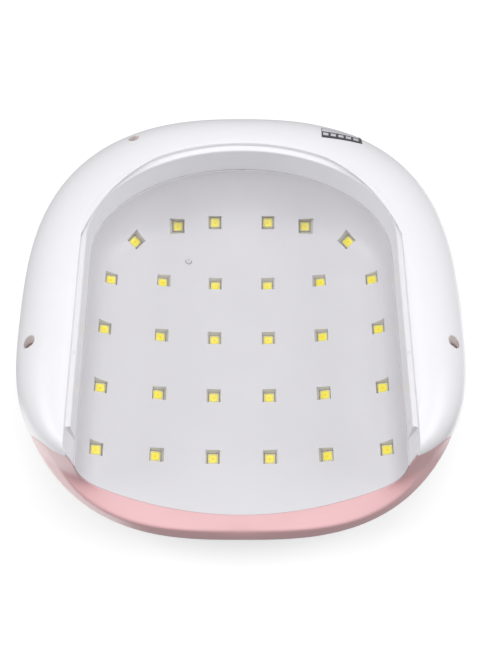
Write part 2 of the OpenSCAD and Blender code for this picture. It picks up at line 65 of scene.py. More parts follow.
def level(z):
    """Half width, depth behind, depth in front, and the front and back powers at a height."""
    if z < PART:
        r = float(roll(z))
        return HALF - 27 * r, BACK - 29 * r, BASE_FRONT - 5 * r, 3.1 + 2.7 * r, 2.7 - 0.6 * r
    g = float(dome((z - PART) / (APEX - PART)))
    if z <= BROW:
        t = (z - PART) / (BROW - PART)
        front = BASE_FRONT + (VISOR_FRONT - BASE_FRONT) * (t * t * (3 - 2 * t)) ** 0.9
    else:
        front = VISOR_FRONT * float(dome((z - BROW) / (APEX - BROW)))
    drop = 0.6 * ((z - PART) / (APEX - PART)) ** 2
    return HALF * g, BACK * g, front, 3.1 - drop, 2.7 - drop


def front_y(x, z):
    """Place of the body's front surface over x at a height."""
    a, _, f, n, _ = level(z)
    return CY - f * max(0.0, 1 - (abs(x) / a) ** n) ** (1 / n)


def front_wall(z):
    """Half width between the base's inner walls in front of the ledge."""
    return FRONT_W + (MOUTH_W - FRONT_W) * min(max(z, 0), WALL_TOP) / WALL_TOP


def half_ring(z, x_front, fractions):
    """Right half of the outline from a place on the front round to the centre of the back, at
    fractions of its length. x_front is where it starts, or 0 for the centre of the front."""
    a, b, f, n, m = level(z)
    start = -math.acos(min(1.0, (x_front / a) ** (n / 2))) if x_front > 0 else -math.pi / 2
    tau = np.linspace(-1, 1, 1600)
    ang = np.where(tau < 0, -start * spow(tau, 1.7), math.pi / 2 * spow(tau, 1.5))
    s, c = np.sin(ang), np.cos(ang)
    x = np.where(ang < 0, a * np.abs(c) ** (2 / n), a * np.abs(c) ** (2 / m))
    y = CY + np.where(ang < 0, f * spow(s, 2 / n), b * spow(s, 2 / m))
    d = np.concatenate([[0], np.cumsum(np.hypot(np.diff(x), np.diff(y)))])
    want = np.asarray(fractions) * d[-1]
    return np.interp(want, d, x), np.interp(want, d, y)


def cavity_path(grow, back_grow, y_front, fractions):
    """Inner wall of the cavity from the front to the centre of the back."""
    w = CAV_W + grow
    ang = np.linspace(0, math.pi / 2, 400)
    x = np.concatenate([np.full(60, w), w * np.cos(ang)])
    y = np.concatenate([np.linspace(y_front, CAV_Y, 60, endpoint=False),
                        CAV_Y + (CAV_B + back_grow) * np.sin(ang)])
    d = np.concatenate([[0], np.cumsum(np.hypot(np.diff(x), np.diff(y)))])
    want = np.asarray(fractions) * d[-1]
    return np.interp(want, d, x), np.interp(want, d, y)


def liner_z(across, back, t=0.0):
    """Height of the cavity's ceiling at parts of its half width and of its rounded back."""
    rho = min(1.0, math.hypot(across, back))
    turn = (back / rho) ** 3 if rho > 0 else 0.0
    p = 1 / ((1 - turn) / 20 + turn / 2.6)
    q = (1 - turn) / 3 + turn * 0.625
    return SKIRT + (CROWN + t - SKIRT) * (1 - (across * CAV_W) ** 2 / (444 * (CROWN - SKIRT))) \
        * (1 - rho ** p) ** q


def arch_in(w):
    """The mouth's edge on the front elevation, from -1 to 1; its ends run down to the seam."""
    s = math.sin(math.radians(90 * min(1.0, abs(w) * 1.09)))
    if abs(w) > 0.9174:
        t = (abs(w) - 0.9174) / 0.0826
        return (math.copysign(CAV_W + t * (SEAM_LOW[0] - CAV_W), w),
                SKIRT + t * (SEAM_LOW[1] - SKIRT))
    return math.copysign(s * CAV_W, w), liner_z(s, 0)


def arch_out(w):
    """The trim's outer edge on the front elevation."""
    a = math.radians(90 * w)
    return (SEAM_HIGH[0] * float(spow(math.sin(a), 0.86)),
            SEAM_HIGH[1] + (TRIM_TOP - SEAM_HIGH[1]) * max(0.0, math.cos(a)) ** 0.62)


def seam_z(x):
    """Height of the seam between base and trim on the front elevation."""
    d = np.abs(x) - SEAM_LOW[0]
    return SEAM_LOW[1] + np.where(d < 0, 0.12 * d, 0.5 * d + 16.3 * (np.maximum(d, 0) / 21) ** 5)


def arch_crease(w):
    """The trim's crease on the front elevation, between its pale lip and its face."""
    ix, iz = arch_in(w)
    h = CREASE_TOP - SEAM_LOW[1]
    dx, dz = ix / CREASE_END, (iz - SEAM_LOW[1]) / h
    r = (abs(dx) ** 4.5 + max(0.0, dz) ** 4.5) ** (-1 / 4.5)
    z = h * r * dz
    end = float(seam_z(CREASE_END))
    return CREASE_END * r * dx, SEAM_LOW[1] + z + (end - SEAM_LOW[1]) * (1 - z / h) ** 3


def face_point(w, t):
    """Between crease and outer edge on the front elevation; the ends follow the seam."""
    c, o = arch_crease(w), arch_out(w)
    x, z = c[0] + t * (o[0] - c[0]), c[1] + t * (o[1] - c[1])
    ex = CREASE_END + t * (SEAM_HIGH[0] - CREASE_END)
    ez = float(seam_z(CREASE_END)) * (1 - t) + t * SEAM_HIGH[1]
    return x, z + (float(seam_z(ex)) - ez) * abs(w) ** 6


def mouth(x):
    """Place of the mouth's edge in y over x."""
    return -100.1 + 0.0023 * x * x


# Meshes; points closer than MERGE, in metres, become one
MERGE = 2e-6


def make(name, verts, faces, sharp=38.0, unit=0.001):
    mesh = bpy.data.meshes.new(name)
    mesh.from_pydata([tuple(float(c) * unit for c in v) for v in verts], [], faces)
    obj = bpy.data.objects.new(name, mesh)
    bpy.context.collection.objects.link(obj)
    tidy(obj, sharp)
    return obj


def tidy(obj, sharp):
    """Merges coincident points, turns faces outward and marks the sharp edges."""
    bm = bmesh.new()
    bm.from_mesh(obj.data)
    bmesh.ops.remove_doubles(bm, verts=bm.verts, dist=MERGE)
    bmesh.ops.dissolve_degenerate(bm, edges=bm.edges, dist=MERGE)
    bmesh.ops.recalc_face_normals(bm, faces=bm.faces)
    limit = math.radians(sharp)
    for f in bm.faces:
        f.smooth = True
    for e in bm.edges:
        e.smooth = len(e.link_faces) == 2 and e.calc_face_angle(0.0) < limit
    bm.to_mesh(obj.data)
    bm.free()


def grid_faces(rows, cols, wrap_cols=False, wrap_rows=False, start=0):
    out = []
    for r in range(rows if wrap_rows else rows - 1):
        for c in range(cols if wrap_cols else cols - 1):
            r2, c2 = (r + 1) % rows, (c + 1) % cols
            out.append((start + r * cols + c, start + r * cols + c2,
                        start + r2 * cols + c2, start + r2 * cols + c))
    return out


def lathe(name, profile, n, at, matrix=None):
    """A closed turned piece from (radius, height) points."""
    verts = []
    for r, h in profile:
        for k in range(n):
            a = 2 * math.pi * k / n
            verts.append((r * math.cos(a), r * math.sin(a), h))
    faces = grid_faces(len(profile), n, wrap_cols=True)
    faces.append(tuple(reversed(range(n))))
    faces.append(tuple((len(profile) - 1) * n + k for k in range(n)))
    m = matrix or Matrix.Identity(4)
    place = [tuple(Vector(at) + (m @ Vector(v))) for v in verts]
    return make(name, place, faces)


def slab(name, outline, z0, z1):
    """A closed prism over a plan outline."""
    n = len(outline)
    verts = [(x, y, z0) for x, y in outline] + [(x, y, z1) for x, y in outline]
    faces = [tuple(reversed(range(n))), tuple(range(n, 2 * n))]
    faces += [(k, (k + 1) % n, n + (k + 1) % n, n + k) for k in range(n)]
    return make(name, verts, faces)


def join(name, objs):
    """One mesh from several, which are then dropped."""
    bm = bmesh.new()
    for o in objs:
        bm.from_mesh(o.data)
    mesh = bpy.data.meshes.new(name)
    bm.to_mesh(mesh)
    bm.free()
    for o in objs:
        bpy.data.objects.remove(o)
    obj = bpy.data.objects.new(name, mesh)
    bpy.context.collection.objects.link(obj)
    return obj


def bake(obj):
    """Applies the object's modifiers."""
    deps = bpy.context.evaluated_depsgraph_get()
    mesh = bpy.data.meshes.new_from_object(obj.evaluated_get(deps))
    obj.modifiers.clear()
    obj.data = mesh


def cut(obj, tool, how="DIFFERENCE", sharp=38.0):
    """A boolean, applied, after which the tool is dropped."""
    mod = obj.modifiers.new("cut", "BOOLEAN")
    mod.operation, mod.solver, mod.object = how, "EXACT", tool
    bake(obj)
    bpy.data.objects.remove(tool)
    tidy(obj, sharp)


def bevel(obj, width, sharp=38.0):
    mod = obj.modifiers.new("bevel", "BEVEL")
    mod.width, mod.segments, mod.limit_method = width * 0.001, 3, "ANGLE"
    mod.angle_limit = math.radians(50.0)
    bake(obj)
    tidy(obj, sharp)


def cyl(name, x, y, z0, z1, r, n=48):
    return slab(name, [(x + r * math.cos(2 * math.pi * k / n),
                        y + r * math.sin(2 * math.pi * k / n)) for k in range(n)], z0, z1)


# Materials
def nodes_of(name):
    mat = bpy.data.materials.new(name)
    mat.use_nodes = True
    tree = mat.node_tree
    return mat, tree, tree.nodes["Principled BSDF"]


def add(tree, kind, **values):
    node = tree.nodes.new(kind)
    for key, value in values.items():
        if key in node.inputs:
            node.inputs[key].default_value = value
        else:
            setattr(node, key, value)
    return node


def noise(tree, scale, detail=2.0):
    coord = add(tree, "ShaderNodeTexCoord")
    tex = add(tree, "ShaderNodeTexNoise", Scale=scale, Detail=detail)
    tree.links.new(coord.outputs["Object"], tex.inputs["Vector"])
    return tex


# Most of a noise's values lie between these
NOISE_LOW, NOISE_HIGH = 0.3, 0.7


def ramp(tree, source, low, high):
    node = add(tree, "ShaderNodeValToRGB")
    first, last = node.color_ramp.elements
    first.position, first.color = NOISE_LOW, (*low, 1)
    last.position, last.color = NOISE_HIGH, (*high, 1)
    tree.links.new(source, node.inputs["Fac"])
    return node


def spread(tree, source, low, high):
    node = add(tree, "ShaderNodeMapRange")
    node.inputs["From Min"].default_value = NOISE_LOW
    node.inputs["From Max"].default_value = NOISE_HIGH
    node.inputs["To Min"].default_value, node.inputs["To Max"].default_value = low, high
    tree.links.new(source, node.inputs["Value"])
    return node


def moulded(name, colour, rough, vary, grain=1400.0, bump=0.04, coat=0.0):
    """Moulded plastic: faint clouding, an uneven gloss and the fine texture of the mould."""
    mat, tree, bsdf = nodes_of(name)
    link = tree.links.new
    cloud = noise(tree, 38.0, 3.0)
    low = tuple(max(0.0, c * (1 - vary)) for c in colour)
    high = tuple(min(1.0, c * (1 + vary * 0.4)) for c in colour)
    link(ramp(tree, cloud.outputs["Fac"], low, high).outputs["Color"], bsdf.inputs["Base Color"])
    gloss = noise(tree, 55.0, 1.0)
    link(spread(tree, gloss.outputs["Fac"], rough * 0.93, rough * 1.07).outputs["Result"],
         bsdf.inputs["Roughness"])
    fine = noise(tree, grain)
    relief = add(tree, "ShaderNodeBump", Strength=bump, Distance=0.00008)
    link(fine.outputs["Fac"], relief.inputs["Height"])
    link(relief.outputs["Normal"], bsdf.inputs["Normal"])
    bsdf.inputs["Coat Weight"].default_value = coat
    return mat


def brushed(name, colour, rough, stretch=(900.0, 60.0, 900.0)):
    """Metal with fine drawn lines."""
    mat, tree, bsdf = nodes_of(name)
    link = tree.links.new
    coord = add(tree, "ShaderNodeTexCoord")
    squeeze = add(tree, "ShaderNodeMapping")
    squeeze.inputs["Scale"].default_value = stretch
    tex = add(tree, "ShaderNodeTexNoise", Scale=1.0, Detail=3.0)
    link(coord.outputs["Object"], squeeze.inputs["Vector"])
    link(squeeze.outputs["Vector"], tex.inputs["Vector"])
    dark = tuple(c * 0.82 for c in colour)
    link(ramp(tree, tex.outputs["Fac"], dark, colour).outputs["Color"], bsdf.inputs["Base Color"])
    link(spread(tree, tex.outputs["Fac"], rough * 0.7, rough * 1.4).outputs["Result"],
         bsdf.inputs["Roughness"])
    relief = add(tree, "ShaderNodeBump", Strength=0.08, Distance=0.00005)
    link(tex.outputs["Fac"], relief.inputs["Height"])
    link(relief.outputs["Normal"], bsdf.inputs["Normal"])
    bsdf.inputs["Metallic"].default_value = 1.0
    return mat


def board_paint(name, mask, trace):
    """Circuit board: solder mask with paler tracks under it."""
    mat, tree, bsdf = nodes_of(name)
    link = tree.links.new
    coord = add(tree, "ShaderNodeTexCoord")
    cells = add(tree, "ShaderNodeTexBrick", Scale=70.0)
    cells.inputs["Color1"].default_value = (*mask, 1)
    cells.inputs["Color2"].default_value = (*[c * 1.25 for c in mask], 1)
    cells.inputs["Mortar"].default_value = (*trace, 1)
    cells.inputs["Mortar Size"].default_value = 0.03
    link(coord.outputs["Object"], cells.inputs["Vector"])
    link(cells.outputs["Color"], bsdf.inputs["Base Color"])
    gloss = noise(tree, 300.0)
    link(spread(tree, gloss.outputs["Fac"], 0.3, 0.45).outputs["Result"], bsdf.inputs["Roughness"])
    relief = add(tree, "ShaderNodeBump", Strength=0.2, Distance=0.0001)
    link(cells.outputs["Fac"], relief.inputs["Height"])
    link(relief.outputs["Normal"], bsdf.inputs["Normal"])
    return mat


def gel_paint(name):
    """Yellow encapsulating gel over a small chip, from the gel's own radial UV."""
    mat, tree, bsdf = nodes_of(name)
    link = tree.links.new
    uv = add(tree, "ShaderNodeTexCoord")
    radial = add(tree, "ShaderNodeTexGradient")
    radial.gradient_type = "SPHERICAL"
    link(uv.outputs["UV"], radial.inputs["Vector"])
    cloud = noise(tree, 2600.0)
    mixed = add(tree, "ShaderNodeMath", operation="MULTIPLY_ADD")
    mixed.inputs[1].default_value = 0.16
    link(cloud.outputs["Fac"], mixed.inputs[0])
    link(radial.outputs["Fac"], mixed.inputs[2])
    node = add(tree, "ShaderNodeValToRGB")
    e = node.color_ramp.elements
    e[0].position, e[0].color = 0.06, (1.0, 0.92, 0.22, 1)
    e[1].position, e[1].color = 1.0, (1.0, 0.60, 0.05, 1)
    for place, colour in ((0.3, (1.0, 0.89, 0.11, 1)), (0.82, (1.0, 0.86, 0.09, 1))):
        e.new(place).color = colour
    link(mixed.outputs["Value"], node.inputs["Fac"])
    link(node.outputs["Color"], bsdf.inputs["Base Color"])
    gloss = noise(tree, 900.0)
    link(spread(tree, gloss.outputs["Fac"], 0.12, 0.22).outputs["Result"], bsdf.inputs["Roughness"])
    bsdf.inputs["Coat Weight"].default_value = 0.4
    return mat


WHITE = moulded("white_abs", (0.84, 0.84, 0.865), rough=0.30, vary=0.012, bump=0.012)
BASE_WHITE = moulded("white_abs_base", (0.84, 0.835, 0.865), rough=0.33, vary=0.012)
PINK = moulded("pink_abs", (0.79, 0.475, 0.495), rough=0.34, vary=0.02)
LINER = moulded("liner_abs", (0.69, 0.68, 0.71), rough=0.42, vary=0.015, grain=900.0, bump=0.06)
PANEL = moulded("panel_inlay", (0.86, 0.86, 0.88), rough=0.16, vary=0.01, bump=0.02)
GLASS_BLACK = moulded("tinted_window", (0.012, 0.012, 0.016), rough=0.07, vary=0.2, bump=0.01,
                      coat=0.5)
SEGMENT = moulded("display_segment", (0.085, 0.07, 0.075), rough=0.3, vary=0.1)
SENSOR = moulded("sensor_window", (0.62, 0.61, 0.64), rough=0.2, vary=0.05)
BLACK = moulded("black_plastic", (0.018, 0.018, 0.02), rough=0.42, vary=0.25, grain=2600.0,
                bump=0.12)
CREAM = moulded("led_body", (0.90, 0.85, 0.55), rough=0.38, vary=0.05, grain=4000.0)
GEL = gel_paint("led_gel")
INK = moulded("printed_ink", (0.30, 0.28, 0.30), rough=0.4, vary=0.1)
LABEL_DARK = moulded("label_dark", (0.055, 0.055, 0.065), rough=0.38, vary=0.12, grain=3000.0)
LABEL_LIGHT = moulded("label_field", (0.62, 0.62, 0.65), rough=0.42, vary=0.05, grain=3000.0)
BOARD = board_paint("board_mask", (0.012, 0.09, 0.03), (0.03, 0.20, 0.07))
LED_BOARD = board_paint("led_board_mask", (0.66, 0.65, 0.68), (0.56, 0.55, 0.58))
STEEL = brushed("plated_steel", (0.56, 0.55, 0.55), 0.34)
NICKEL = brushed("nickel", (0.52, 0.50, 0.47), 0.28)
ALUMINIUM = brushed("extruded_aluminium", (0.72, 0.73, 0.75), 0.3)
COPPER = brushed("copper_winding", (0.50, 0.22, 0.08), 0.35, (200.0, 200.0, 2600.0))
SLEEVE = moulded("capacitor_sleeve", (0.015, 0.02, 0.06), rough=0.22, vary=0.15)
NYLON = moulded("nylon", (0.74, 0.71, 0.62), rough=0.45, vary=0.05)
MAGNET = moulded("magnet_plating", (0.80, 0.80, 0.81), rough=0.5, vary=0.06)
ZINC = moulded("screw_zinc", (0.86, 0.79, 0.76), rough=0.6, vary=0.08)
# Screw wells: a pale brownish white with a faint painted glow; emission stands in for light in
# their shaded hollows
WELL_PAINTED_GLOW = moulded("well_painted_glow", (0.80, 0.75, 0.74), rough=0.5, vary=0.03)
well_glow_inputs = WELL_PAINTED_GLOW.node_tree.nodes["Principled BSDF"].inputs
well_glow_inputs["Emission Color"].default_value = (0.75, 0.66, 0.66, 1)
well_glow_inputs["Emission Strength"].default_value = 0.07
WIRE_RED = moulded("wire_red", (0.45, 0.02, 0.015), rough=0.38, vary=0.12)
WIRE_GREY = moulded("wire_grey", (0.12, 0.12, 0.13), rough=0.42, vary=0.12)


def dress(obj, mat, body="housing", stands_for=()):
    obj.data.materials.clear()
    obj.data.materials.append(mat)
    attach(obj, body)
    if stands_for:
        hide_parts(*stands_for)
    return obj


# Base: one closed section swept along the U from the right front tip round the back
def build_base():
    phi = np.radians(np.linspace(0, 90, 61))
    z_of = PART * (1 - np.sin(phi))
    ledge_y, stretch_y, end_y = -75.4, -80, -86.3
    even, fine = np.linspace(0, 1, 240), np.linspace(0, 1, 4000)
    _, ly = cavity_path(0, 0, end_y, fine)
    f_ledge = float(np.interp(ledge_y, ly[:1500], fine[:1500]))
    s = np.unique(np.concatenate([even, even[:12] * 0.5 + 0.001,
                                  [f_ledge - 0.0012, f_ledge, f_ledge + 0.0012]]))
    tx = np.empty((len(z_of), len(s)))
    ty = np.empty_like(tx)
    for k, z in enumerate(z_of):
        tx[k], ty[k] = half_ring(float(z), front_wall(float(z)), s)
    walls = {}

    def wall(z, recess):
        """The inner wall at a height; its recess runs under the ledge."""
        key = (round(z, 3), recess)
        if key not in walls:
            g, gb = (2.4, 3.0) if recess else (0.0, 0.0)
            wx, wy = cavity_path(g, gb, end_y, s)
            wx = np.where(s <= f_ledge, front_wall(z), wx)
            if z < TIP_TOP:
                tip = front_y(front_wall(z), z)
                stretch = tip + (wy - end_y) / (stretch_y - end_y) * (stretch_y - tip)
                wy = np.maximum(wy, tip) if tip > end_y else np.where(wy < stretch_y, stretch, wy)
            walls[key] = wx, wy
        return walls[key]

    columns = []
    for j in range(len(s)):
        soft = min(1.0, s[j] / 0.02)
        gap = z_of - np.where(ty[:, j] < CY, seam_z(tx[:, j]) - 0.15, 1000.0)
        above = np.nonzero(gap < 0)[0]
        k0 = int(above[0]) if len(above) else len(z_of) - 1
        if k0 == 0:
            phi_top = 0.0
        else:
            t = gap[k0 - 1] / (gap[k0 - 1] - gap[k0])
            phi_top = float(phi[k0 - 1] + t * (phi[k0] - phi[k0 - 1]))
        run = phi_top + (math.pi / 2 - phi_top) * np.linspace(0, 1, 44)
        ox = np.interp(run, phi, tx[:, j])
        oy = np.interp(run, phi, ty[:, j])
        oz = PART * (1 - np.sin(run))
        recess = s[j] > f_ledge
        top_in = wall(WALL_TOP, False)
        inward = np.array([top_in[0][j] - ox[0], top_in[1][j] - oy[0]])
        reach = max(1e-6, float(np.hypot(*inward)))
        inward = inward / reach
        lip = min(0.45, reach * 0.2)
        col = [(ox[0] + inward[0] * lip, oy[0] + inward[1] * lip, oz[0]),
               (ox[0] + inward[0] * lip * 0.3, oy[0] + inward[1] * lip * 0.3, oz[0] - 0.3 * lip)]
        col += [(ox[k], oy[k], oz[k]) for k in range(1, len(run))]
        r1, r2 = 0.75 * soft, 0.9 * soft
        edge = wall(0.0, recess)
        ex, ey = edge[0][j], edge[1][j]
        out = np.array([ox[-1] - ex, oy[-1] - ey])
        span = max(1e-6, float(np.hypot(*out)))
        out = out / span
        r1 = min(r1, span * 0.4)
        for a in np.radians([0, 30, 60, 90]):
            d = r1 * (1 - math.sin(a))
            z = r1 * (1 - math.cos(a))
            wx, wy = wall(z, recess)
            col.append((wx[j] + out[0] * d, wy[j] + out[1] * d, z))
        if recess:
            for z in (1.2, 1.75):
                wx, wy = wall(z, True)
                col.append((wx[j], wy[j], z))
            ax, ay = wall(LEDGE_Z, True)
            bx, by = wall(LEDGE_Z, False)
            step = np.array([bx[j] - ax[j], by[j] - ay[j]])
            length = float(np.hypot(*step))
            step = step / length
            col.append((ax[j] + step[0] * 0.1, ay[j] + step[1] * 0.1, 2.1))
            col.append((ax[j] + step[0] * 0.3, ay[j] + step[1] * 0.3, LEDGE_Z))
            for a in np.radians([0, 22.5, 45, 67.5, 90]):
                d = length - r2 * (1 - math.sin(a))
                col.append((ax[j] + step[0] * d, ay[j] + step[1] * d,
                            LEDGE_Z + r2 * (1 - math.cos(a))))
        else:
            for z in (1.2, 1.75, 2.1, 2.2, 2.3, 2.45, 2.6, 2.8, 3.1):
                wx, wy = wall(z, False)
                col.append((wx[j], wy[j], z))
        for z in (3.4, 4.0, 4.5, 4.75, 4.85, 6.0, 9.0, 12.0, 15.0, 17.2):
            wx, wy = wall(z, False)
            col.append((wx[j], wy[j], z))
        col.append((top_in[0][j] - inward[0] * 0.05, top_in[1][j] - inward[1] * 0.05, 17.6))
        for back in (0.25, min(1.6, reach * 0.3)):
            col.append((top_in[0][j] - inward[0] * back, top_in[1][j] - inward[1] * back, WALL_TOP))
        low_z = min(6.0, oz[0] * 0.55)
        lw = wall(low_z, False)
        low_phi = math.asin(1 - low_z / PART)
        low = np.array([np.interp(low_phi, phi, tx[:, j]), np.interp(low_phi, phi, ty[:, j])])
        there = low - np.array([lw[0][j], lw[1][j]])
        col.append((lw[0][j] + there[0] * 0.2, lw[1][j] + there[1] * 0.2, low_z))
        thick = min(2.4, reach * 0.4)
        mid_z = 0.5 * (low_z + oz[0])
        mid_phi = math.asin(1 - mid_z / PART)
        mx, my = np.interp(mid_phi, phi, tx[:, j]), np.interp(mid_phi, phi, ty[:, j])
        col.append((mx + inward[0] * thick, my + inward[1] * thick, mid_z))
        col.append((ox[0] + inward[0] * thick, oy[0] + inward[1] * thick, oz[0]))
        if j == 0:
            col = [(front_wall(z), front_y(front_wall(z), z) if z < TIP_TOP else end_y, z)
                   for _, _, z in col]
        columns.append(col)
    cols = columns + [[(-x, y, z) for x, y, z in col] for col in reversed(columns[:-1])]
    rows = len(cols[0])
    verts = [p for col in cols for p in col]
    faces = grid_faces(len(cols), rows, wrap_cols=True)
    return make("base_housing", verts, faces)


def closed_levels(name, inset, z0, z1):
    """A closed solid of the body's outline between two heights, inset from its surface."""
    steps, n = 24, 160
    verts = []
    for k in range(steps + 1):
        z = z0 + (z1 - z0) * (1 - math.cos(math.pi / 2 * k / steps))
        a, b, f, p, q = level(min(z, PART - 1e-6))
        for i in range(n):
            t = 2 * math.pi * i / n
            s, c = math.sin(t), math.cos(t)
            e = 2 / (q if s >= 0 else p)
            verts.append(((a - inset) * float(spow(c, e)),
                          CY + ((b if s >= 0 else f) - inset) * float(spow(s, e)), z))
    faces = grid_faces(steps + 1, n, wrap_cols=True)
    faces.append(tuple(reversed(range(n))))
    faces.append(tuple(steps * n + k for k in range(n)))
    return make(name, verts, faces)


CASE_SCREWS = [(-97, -31.5), (97, -31.5), (-55, 85), (55, 85)]
MAGNETS = [(-75.2, -39.4), (75.2, -39.4), (-75, 29), (75, 29)]
base = build_base()
tools = [cyl("tool", x, y, -1, 18, 3.1) for x, y in CASE_SCREWS]
tools += [cyl("tool", x, y, 1.0, 5.2, 0.85, 24) for x, y in MAGNETS]
bore = lathe("tool", [(4.2, 96.0), (4.2, 112.0)], 48, (0, 0, 20),
             Matrix.Rotation(math.radians(-90), 4, "X"))
cut(base, join("tools", tools + [bore]))
dress(base, BASE_WHITE, stands_for=["base_shell"])

bosses = []
for x, y in CASE_SCREWS:
    ring = [(5.0, 0.5), (5.0, 31.0), (1.65, 31.0), (1.65, 16.0), (3.1, 16.0), (3.1, 0.5)]
    n = 48
    verts = [(x + r * math.cos(2 * math.pi * k / n), y + r * math.sin(2 * math.pi * k / n), h)
             for r, h in ring for k in range(n)]
    bosses.append(make("boss", verts, grid_faces(len(ring), n, wrap_cols=True, wrap_rows=True)))
boss = join("screw_bosses", bosses)
cut(boss, closed_levels("inside", 0.9, 0.9, PART - 0.2), "INTERSECT")
dress(boss, BASE_WHITE)


# Cover: a thick dome whose front opening follows the trim's outer edge
def build_cover():
    count = 64
    zs = PART + (FLAT - PART) * np.sin(np.linspace(0, math.pi / 2, 90))
    aw = np.linspace(0, 1, 400)
    ax = np.array([arch_out(w)[0] for w in aw]) * 1.002
    az = np.array([arch_out(w)[1] for w in aw]) + 0.15

    def rings(fractions):
        pairs = [half_ring(float(z), 0.0, fractions) for z in zs]
        return np.array([a for a, _ in pairs]), np.array([b for _, b in pairs])

    def foot(x, y):
        """Height at which a column meets the trim's arch, or the parting line."""
        edge = np.interp(x, ax, az, right=0.0) * (y[0] <= CY)
        gap = zs - edge
        k0 = int(np.nonzero(gap >= 0)[0][0])
        if k0 == 0:
            return PART + 0.02
        t = -gap[k0 - 1] / (gap[k0] - gap[k0 - 1])
        return max(float(zs[k0 - 1] + t * (zs[k0] - zs[k0 - 1])), PART + 0.02)

    # Two columns close together where the arch ends, so that no long face spans the step there
    fr = np.linspace(0, 1, 400)
    tx, ty = rings(fr)
    feet = np.array([foot(tx[:, j], ty[:, j]) for j in range(len(fr))])
    j = int(np.argmax(feet[:-1] - feet[1:]))
    low, high = fr[j], fr[j + 1]
    for _ in range(14):
        half = 0.5 * (low + high)
        mx, my = rings([half])
        if foot(mx[:, 0], my[:, 0]) > 0.5 * (feet[j] + feet[j + 1]):
            low = half
        else:
            high = half
    fr = np.unique(np.concatenate([fr, [low, high]]))
    tx, ty = rings(fr)

    def column(j):
        z0 = foot(tx[:, j], ty[:, j])
        run = z0 + (FLAT - z0) * np.sin(np.linspace(0, 1, count) * math.pi / 2)
        return np.interp(run, zs, tx[:, j]), np.interp(run, zs, ty[:, j]), run

    centre = np.array([0.0, CY])
    loops = []
    for x, y, z in map(column, range(len(fr))):
        outer = list(zip(x, y, z))
        p = np.array(outer)
        tang = np.gradient(p, axis=0)
        plan = centre - p[:, :2]
        plan = plan / np.maximum(1e-6, np.hypot(plan[:, 0], plan[:, 1]))[:, None]
        slope = np.hypot(tang[:, 0], tang[:, 1])
        rise = np.maximum(1e-6, tang[:, 2])
        mix = rise / np.hypot(slope, rise)
        inner = [(p[k, 0] + plan[k, 0] * 2.4 * mix[k], p[k, 1] + plan[k, 1] * 2.4 * mix[k],
                  min(p[k, 2] - 2.6 * (1 - mix[k]), FLAT - 2.8)) for k in range(len(p))]
        lip = 0.4
        start = (p[0, 0] + plan[0, 0] * lip, p[0, 1] + plan[0, 1] * lip, p[0, 2])
        near = (p[0, 0] + plan[0, 0] * lip * 0.3, p[0, 1] + plan[0, 1] * lip * 0.3,
                p[0, 2] + lip * 0.25)
        outer[0] = near
        loops.append([start] + outer + list(reversed(inner)))
    loops += [[(-x, y, z) for x, y, z in lp] for lp in reversed(loops[1:-1])]
    rows, n = len(loops[0]), len(loops)
    verts = [q for lp in loops for q in lp]
    faces = []
    for c in range(n):
        c2 = (c + 1) % n
        for r in range(rows):
            r2 = (r + 1) % rows
            if r != count:
                faces.append((c * rows + r, c2 * rows + r, c2 * rows + r2, c * rows + r2))
    faces.append(tuple(c * rows + count for c in range(n)))
    faces.append(tuple(reversed([c * rows + count + 1 for c in range(n)])))
    return make("top_shell", verts, faces)


def panel_outline(grow):
    pts, n = [], 144
    for i in range(n):
        a = 2 * math.pi * i / n
        depth = 34 if math.sin(a) > 0 else 44
        pts.append(((33 + grow) * float(spow(math.cos(a), 0.8)),
                    CY + (depth + grow) * float(spow(math.sin(a), 0.8))))
    return pts


BUTTONS = {"button_10s": -18.75, "button_30s": -6.25, "button_60s": 6.25, "button_99s": 18.75}
BUTTON_Y, DISPLAY_Y = -32.0, -4.0


def display_outline(half_x, half_y):
    return [(sx * half_x, DISPLAY_Y + sy * half_y) for sx, sy in SQUARE]


cover = build_cover()
cut(cover, slab("tool", panel_outline(0.15), FLAT - 1.5, FLAT + 3))
tools = [cyl("tool", x, BUTTON_Y, 80, 90, 4.8, 64) for x in BUTTONS.values()]
tools.append(slab("tool", display_outline(17.4, 7.9), 80, 90))
cut(cover, join("tools", tools))
dress(cover, WHITE, stands_for=["top_cover"])


